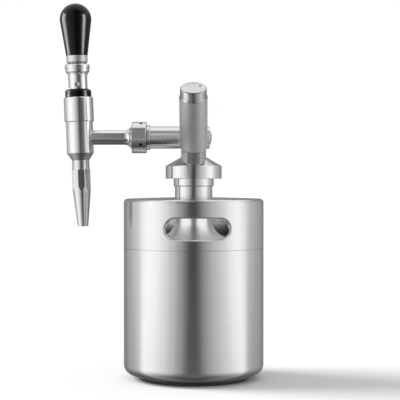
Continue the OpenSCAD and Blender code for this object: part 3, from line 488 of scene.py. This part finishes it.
handle_line = [(0, 97.7), (5.5, 97.7), (5.5, 78.7), (9.9, 78.7), (10.25, 78.8), (10.4, 79.2)]
handle_line += arc((0, 114), 15.2, -7.98, 90, 40)
piece("handle_grip", turned(handle_line), TAP, "lever", handle_black, ["tap_handle"])

ring_line = [(3.05, 35), (9, 35), (9, 38.7), (12.35, 38.7), (12.65, 39.0), (12.65, 42.2), (12.4, 42.4),
             (12.4, 42.7), (12.65, 42.9)]
ring_line += arc((9.45, 43.5), 3.2, 0, 90, 12)
ring_line += [(3.35, 46.7), (3.05, 46.4)]
piece("bonnet_collar", turned(ring_line, closed=True), TAP, "tap", ring_black, ["bonnet_ring"])


def toothed_washer():
    bore_r, rim_r, low, high = 3.5, 7.4, 71.25, 72.15
    teeth, tooth, lean = 16, 1.8, 0.22
    bm = turned([(bore_r, low), (rim_r, low), (rim_r, high), (bore_r, high)], steps=3 * teeth, closed=True)
    walls = [f for f in bm.faces if f.normal.xy.length > 0.9]
    rim = [f for f in walls if f.calc_center_median().xy.length > (bore_r + rim_r) / 2]
    rim.sort(key=lambda f: math.atan2(f.calc_center_median().y, f.calc_center_median().x))
    for face in bmesh.ops.extrude_discrete_faces(bm, faces=[f for i, f in enumerate(rim) if i % 3])["faces"]:
        out = Vector((*face.calc_center_median().xy, 0)).normalized()
        bmesh.ops.translate(bm, vec=out * tooth, verts=face.verts)
    bmesh.ops.remove_doubles(bm, verts=bm.verts, dist=10 * SAME_PLACE)
    for vert in bm.verts:
        if vert.co.xy.length > rim_r + tooth / 2:
            vert.co.z += lean * math.sin(teeth * math.atan2(vert.co.y, vert.co.x))
    return bm


piece("toothed_washer", toothed_washer(), TAP, "lever", inner_steel, ["star_washer"])

dome_line = [(0, 9.45), (1.2, 9.5), (1.7, 9.7), (2.1, 9.88), (2.45, 9.82), (2.65, 9.55), (2.7, 8.7),
             (0, 8.7)]
for name, turn in (("pin_head_front", 0), ("pin_head_back", math.pi)):
    dome = turned(dome_line, steps=48)
    bmesh.ops.rotate(dome, cent=(0, 0, 0), matrix=Matrix.Rotation(turn, 3, "X"), verts=dome.verts)
    piece(name, dome, PIN, "lever", inner_steel)


# Threads that the cap, the holder and the union nut run on

def thread(root, crest, pitch):
    sunk, foot, flank, tip = 0.1, 0.42 * pitch, 0.4 * pitch, 0.1 * pitch
    return [(root - sunk, -foot), (root, -flank), (crest, -tip), (crest, tip), (root, flank),
            (root - sunk, foot)]


def thread_piece(name, root, crest, pitch, low, turns, place, body, coat_of):
    bm = wound([(r, z + low) for r, z in thread(root, crest, pitch)], pitch, turns, steps=64)
    piece(name, bm, place, body, coat_of)


thread_piece("neck_thread", 18.1, 18.7, 3.0, 194.4, 2.0, KEG, "keg", neck_steel)
thread_piece("port_thread", 10.3, 10.85, 1.5, 16.7, 5.8, PORT, "head", port_steel)
thread_piece("union_thread", 11.8, 12.35, 1.4, 53.3, 3.0, LEFT, "tap", shank_steel)


# Springs and round seals inside

def coil_piece(name, d, wire_d, low, high, turns, place, body, node):
    r = wire_d / 2
    section = [(d / 2 + x, low + r + z) for x, z in ring((0, 0), r, count=12)]
    bm = wound(section, (high - low - wire_d) / turns, turns, steps=40)
    made = piece(name, bm, place, body, spring_steel, [node])
    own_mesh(made)


def seal_piece(name, centre, radius, place, body, node):
    bm = turned(ring(centre, radius, count=24), steps=64, closed=True)
    piece(name, bm, place, body, seal_rubber, [node])


coil_piece("plunger_spring", 11.2, 1.1, 14.0, 27.2, 4, TAP, "tap", "return_spring")
coil_piece("button_spring", 8.0, 0.77, 11.0, 15.6, 2, RIGHT, "head", "relief_spring")
seal_piece("dip_seal", (5.15, 206.78), 0.65, KEG, "head", "dip_o_ring")
seal_piece("plunger_seal", (6.85, 11.25), 1.05, TAP, "plunger", "plunger_o_ring")


# Studio: a floor, a light tent and cards that only reflections show, and lamps

FLOOR_HALF = 40
TENT_CENTRE, TENT_R = (0, 0, 0.2), 0.55
EVEN_FILL, WHITE = 0.62, 1.0
KEY_STRENGTH, KEY_ANGLE, KEY_FROM = 3.1, 36, (-0.82, 0.18, 0.54)

# Brightness of the tent by the angle round the keg, and by the angle up from the front and over, in degrees

SIDES = [(-180, 0.25), (-143, 0.3), (-127, 0.53), (-101, 0.85), (-83, 1.32), (-70, 1.44), (-58, 1.36),
         (-44, 1.09), (-31, 0.77), (-19, 0.46), (-11, 0.24), (-6, 0.1), (2, 0.07), (7, 0.16), (13, 0.33),
         (19, 0.48), (32, 0.72), (45, 0.93), (59, 1.25), (71, 1.38), (83, 1.18), (92, 0.93), (102, 0.67),
         (127, 0.48), (148, 0.3), (180, 0.25)]
OVERHEAD = [(-180, 0.25), (-152, 0.12), (-104, 0.1), (-72, 0.08), (-55, 0.16), (-35, 0.16), (-10, 0.07),
            (8, 0.07), (30, 0.1), (50, 0.08), (72, 0.1), (79, 1.25), (118, 1.25), (130, 0.95), (140, 0.6),
            (147, 0.32), (180, 0.25)]


def stage_piece(name, bm):
    """A mesh of the studio, which is no part of the keg. Gives its object and its paint."""
    mesh = bpy.data.meshes.new(name)
    bm.to_mesh(mesh)
    bm.free()
    made = bpy.data.objects.new(name, mesh)
    scene.collection.objects.link(made)
    paint = bpy.data.materials.new(name)
    paint.use_nodes = True
    mesh.materials.append(paint)
    return made, paint


def only_mirrored(made, paint):
    """Leaves a mesh of the studio to the steel's reflections. Gives its paint's nodes, without a shader."""
    made.visible_camera = False
    made.visible_diffuse = False
    made.visible_transmission = False
    made.visible_shadow = False
    paint.cycles.emission_sampling = "NONE"
    tree = paint.node_tree
    tree.nodes.remove(tree.nodes["Principled BSDF"])
    return tree


def studio_floor():
    bm = bmesh.new()
    bmesh.ops.create_grid(bm, x_segments=8, y_segments=8, size=FLOOR_HALF)
    floor, paint = stage_piece("studio_floor", bm)
    surface = paint.node_tree.nodes["Principled BSDF"]
    surface.inputs["Base Color"].default_value = (*grey(0.9), 1)
    surface.inputs["Roughness"].default_value = 0.8
    surface.inputs["Specular IOR Level"].default_value = 0.0
    floor.visible_glossy = False


def panel_ramp(tree, angle, levels, place):
    """The brightness at an angle, eased between the levels given."""
    share = wire(tree, "ShaderNodeMapRange", (place[0] - 200, place[1]),
                 {"Value": angle, "From Min": -math.pi, "From Max": math.pi})
    panels = wire(tree, "ShaderNodeValToRGB", place, {"Fac": share.outputs["Result"]})
    panels.color_ramp.interpolation = "EASE"
    stops = panels.color_ramp.elements
    brightest = max(level for _, level in levels)
    while len(stops) < len(levels):
        stops.new(0.5)
    for stop, (spot, level) in zip(stops, levels):
        stop.position = (spot - levels[0][0]) / (levels[-1][0] - levels[0][0])
        stop.color = [level / brightest] * 3 + [1]
    return reckon(tree, "MULTIPLY", (panels.outputs["Color"], brightest), (place[0] + 280, place[1]))


def light_tent(tree):
    """What polished pieces mirror: a bright panel on each side and one overhead, with a dark gap in front.
    The sides fade towards the floor, and the one overhead towards its two ends."""
    level_floor, dim_below, full_above, dimmest = 0.02, -0.9, -0.4, 0.35
    ends_at, full_within = 0.97, 0.75
    spot = wire(tree, "ShaderNodeTexCoord", (-1600, 0))
    centred = wire(tree, "ShaderNodeVectorMath", (-1400, 0), {0: spot.outputs["Object"], 1: TENT_CENTRE},
                   operation="SUBTRACT")
    way = wire(tree, "ShaderNodeVectorMath", (-1300, 0), {0: centred.outputs[0]}, operation="NORMALIZE")
    right, back, up = wire(tree, "ShaderNodeSeparateXYZ", (-1200, 0), {0: way.outputs[0]}).outputs
    front = reckon(tree, "MULTIPLY", (back, -1), (-1000, -100))
    steep = reckon(tree, "MULTIPLY", (up, up), (-1000, 400))
    level = reckon(tree, "MULTIPLY_ADD", (front, front, level_floor), (-1000, 200))
    slope = reckon(tree, "DIVIDE", (steep, level), (-850, 400))
    longer = reckon(tree, "ADD", (slope, 1), (-700, 400))
    stretch = reckon(tree, "SQRT", (longer,), (-550, 400))
    ahead = reckon(tree, "MULTIPLY", (stretch, front), (-700, 200))
    round_about = reckon(tree, "ARCTAN2", (right, ahead), (-850, 0))
    up_and_over = reckon(tree, "ARCTAN2", (up, front), (-850, -300))
    sides = panel_ramp(tree, round_about, SIDES, (-450, 0))
    overhead = panel_ramp(tree, up_and_over, OVERHEAD, (-450, -300))
    low = wire(tree, "ShaderNodeMapRange", (-650, -600),
               {"Value": up, "From Min": dim_below, "From Max": full_above, "To Min": dimmest},
               interpolation_type="SMOOTHSTEP")
    hung = reckon(tree, "MULTIPLY", (sides, low.outputs["Result"]), (50, -50))
    aside = reckon(tree, "ABSOLUTE", (right,), (-650, -800))
    middle = wire(tree, "ShaderNodeMapRange", (-450, -800),
                  {"Value": aside, "From Min": ends_at, "From Max": full_within},
                  interpolation_type="SMOOTHSTEP")
    over = reckon(tree, "MULTIPLY", (overhead, middle.outputs["Result"]), (50, -350))
    return reckon(tree, "MAXIMUM", (hung, over), (250, -100))


def studio_tent():
    bm = bmesh.new()
    bmesh.ops.create_icosphere(bm, subdivisions=5, radius=TENT_R, matrix=Matrix.Translation(TENT_CENTRE))
    for face in bm.faces:
        face.smooth = True
    tree = only_mirrored(*stage_piece("studio_tent", bm))
    glow = wire(tree, "ShaderNodeEmission", (500, 0), {"Color": light_tent(tree)})
    tree.links.new(glow.outputs[0], tree.nodes["Material Output"].inputs["Surface"])


def mirror_card(name, corner, across, onward, levels):
    """A card seen only in polished steel, and only from its front. It changes from the first level to the
    second along its onward side."""
    bm = bmesh.new()
    side = bm.edges.new([bm.verts.new(Vector(corner) + Vector(step)) for step in ((0, 0, 0), across)])
    far = bmesh.ops.extrude_edge_only(bm, edges=[side])["geom"]
    bmesh.ops.translate(bm, vec=onward, verts=[g for g in far if isinstance(g, bmesh.types.BMVert)])
    bm.normal_update()
    front = Vector(across).cross(Vector(onward))
    bmesh.ops.reverse_faces(bm, faces=[f for f in bm.faces if f.normal.dot(front) < 0])
    tree = only_mirrored(*stage_piece(name, bm))
    along = max(range(3), key=lambda axis: abs(onward[axis]))
    near, end = corner[along], corner[along] + onward[along]
    spot = wire(tree, "ShaderNodeTexCoord", (-600, 0))
    split = wire(tree, "ShaderNodeSeparateXYZ", (-400, 0), {0: spot.outputs["Object"]})
    share = wire(tree, "ShaderNodeMapRange", (-200, 0),
                 {"Value": split.outputs[along], "From Min": near, "From Max": end, "To Min": levels[0],
                  "To Max": levels[1]})
    glow = wire(tree, "ShaderNodeEmission", (0, 0), {"Color": share.outputs["Result"]})
    facing = wire(tree, "ShaderNodeNewGeometry", (0, 200))
    clear = wire(tree, "ShaderNodeBsdfTransparent", (0, -200))
    shown = wire(tree, "ShaderNodeMixShader", (200, 0),
                 {"Fac": facing.outputs["Backfacing"], 1: glow.outputs[0], 2: clear.outputs[0]})
    tree.links.new(shown.outputs[0], tree.nodes["Material Output"].inputs["Surface"])


def lit_pieces(name, *pieces):
    chosen = bpy.data.collections.new(name)
    for one in pieces:
        chosen.objects.link(one)
    return chosen


def area_lamp(name, size, reach, place, way, strength, lights):
    """A rectangular lamp that stands its reach away from a place, faces it and lights the pieces named."""
    panel = bpy.data.lights.new(name, "AREA")
    panel.shape = "RECTANGLE"
    panel.size, panel.size_y = size
    panel.energy = strength * math.pi * size[0] * size[1]
    lamp = bpy.data.objects.new(name, panel)
    lamp.location = Vector(place) + reach * Vector(way).normalized()
    lamp.rotation_euler = Vector(way).to_track_quat("Z", "Y").to_euler()
    lamp.visible_camera = False
    lamp.visible_diffuse = False
    lamp.light_linking.receiver_collection = lights
    scene.collection.objects.link(lamp)


def studio_light():
    """White to the eye, an even fill and one soft key from the left."""
    world = bpy.data.worlds.new("studio")
    scene.world = world
    world.use_nodes = True
    tree = world.node_tree
    tree.nodes.clear()
    ray = wire(tree, "ShaderNodeLightPath", (0, 200))
    seen = wire(tree, "ShaderNodeMix", (200, 0),
                {"Factor": ray.outputs["Is Camera Ray"], "A": EVEN_FILL, "B": WHITE})
    glow = wire(tree, "ShaderNodeBackground", (400, 0), {"Color": seen.outputs["Result"]})
    wire(tree, "ShaderNodeOutputWorld", (600, 0), {"Surface": glow.outputs[0]})
    key = bpy.data.lights.new("side_key", "SUN")
    key.energy = KEY_STRENGTH
    key.angle = math.radians(KEY_ANGLE)
    lamp = bpy.data.objects.new("side_key", key)
    lamp.rotation_euler = Vector(KEY_FROM).to_track_quat("Z", "Y").to_euler()
    lamp.visible_glossy = False
    scene.collection.objects.link(lamp)


def piece_lamps():
    """Lamps that each light only certain pieces, by size, reach, place, direction and strength."""
    objects = bpy.data.objects
    black = lit_pieces("black_pieces", objects["handle_grip"], objects["bonnet_collar"])
    barrel = lit_pieces("barrel_pieces", *(nodes[name] for name in ("tap_body", "bonnet", "lever_neck")))
    tube = lit_pieces("cross_tube", nodes["tee_tube"])
    sleeve = lit_pieces("holder_sleeve", objects["knurled_holder"])
    neck = lit_pieces("neck_in_slot", nodes["shoulder_neck"])
    shell = lit_pieces("shell_round_slot", nodes["handle_shell"])
    rim = lit_pieces("slot_rim", objects["slot_edge"])
    handle, middle, upper = (-0.114, 0, 0.33), (0, 0, 0.153), (0, 0, 0.161)
    area_lamp("strip_left", (0.17, 0.34), 0.3, handle, (-1, 0, 0), 17, black)
    area_lamp("strip_right", (0.11, 0.34), 0.3, handle, (0.94, -0.34, 0), 26, black)
    area_lamp("barrel_right", (0.024, 0.12), 0.07, (-0.11, 0, 0.255), (0.98, -0.2, 0), 1.0, barrel)
    area_lamp("tube_front", (0.3, 0.11), 0.3, (-0.02, 0, 0.2325), (0, -0.8, 0.5), 0.85, tube)
    area_lamp("sleeve_left", (0.1, 0.12), 0.2, (0, -0.03, 0.25), (-0.85, -0.35, -0.25), 0.8, sleeve)
    area_lamp("slot_left", (0.056, 0.036), 0.046, middle, (-1, -1.05, 0), 1.6, neck)
    area_lamp("slot_right", (0.056, 0.036), 0.046, middle, (1, -0.95, 0), 1.5, neck)
    area_lamp("slot_far_left", (0.06, 0.018), 0.046, upper, (-1, 0.5, 0), 0.6, neck)
    area_lamp("slot_far_right", (0.06, 0.018), 0.046, upper, (1, 0.5, 0), 0.6, neck)
    area_lamp("slot_top_left", (0.026, 0.06), 0.0, (-0.022, -0.006, 0.1715), (0, 0, 1), 0.4, neck)
    area_lamp("slot_top_right", (0.03, 0.06), 0.0, (0.026, 0, 0.1715), (0, 0, 1), 0.5, neck)
    area_lamp("slot_lip", (0.2, 0.16), 0.2, (0, -0.067, 0.136), (0, -0.45, 0.9), 1.2, rim)
    area_lamp("slot_back_left", (0.05, 0.02), 0.048, upper, (-1, -0.7, 0), 0.27, shell)
    area_lamp("slot_back_right", (0.05, 0.02), 0.048, upper, (1, -0.6, 0), 1.8, shell)


studio_floor()
studio_tent()
mirror_card("front_card", (-0.06, -0.133, 0.205), (0, 0, 0.165), (0.052, 0.037, 0), (0.06, 0.42))
mirror_card("stem_card", (-0.1, -0.095, 0.213), (0.054, 0, 0), (0, 0.083, 0), (0.5, 0.09))
mirror_card("tube_card", (-0.046, -0.095, 0.213), (0.021, 0, 0), (0, 0.083, 0), (0.5, 0.01))
studio_light()
piece_lamps()
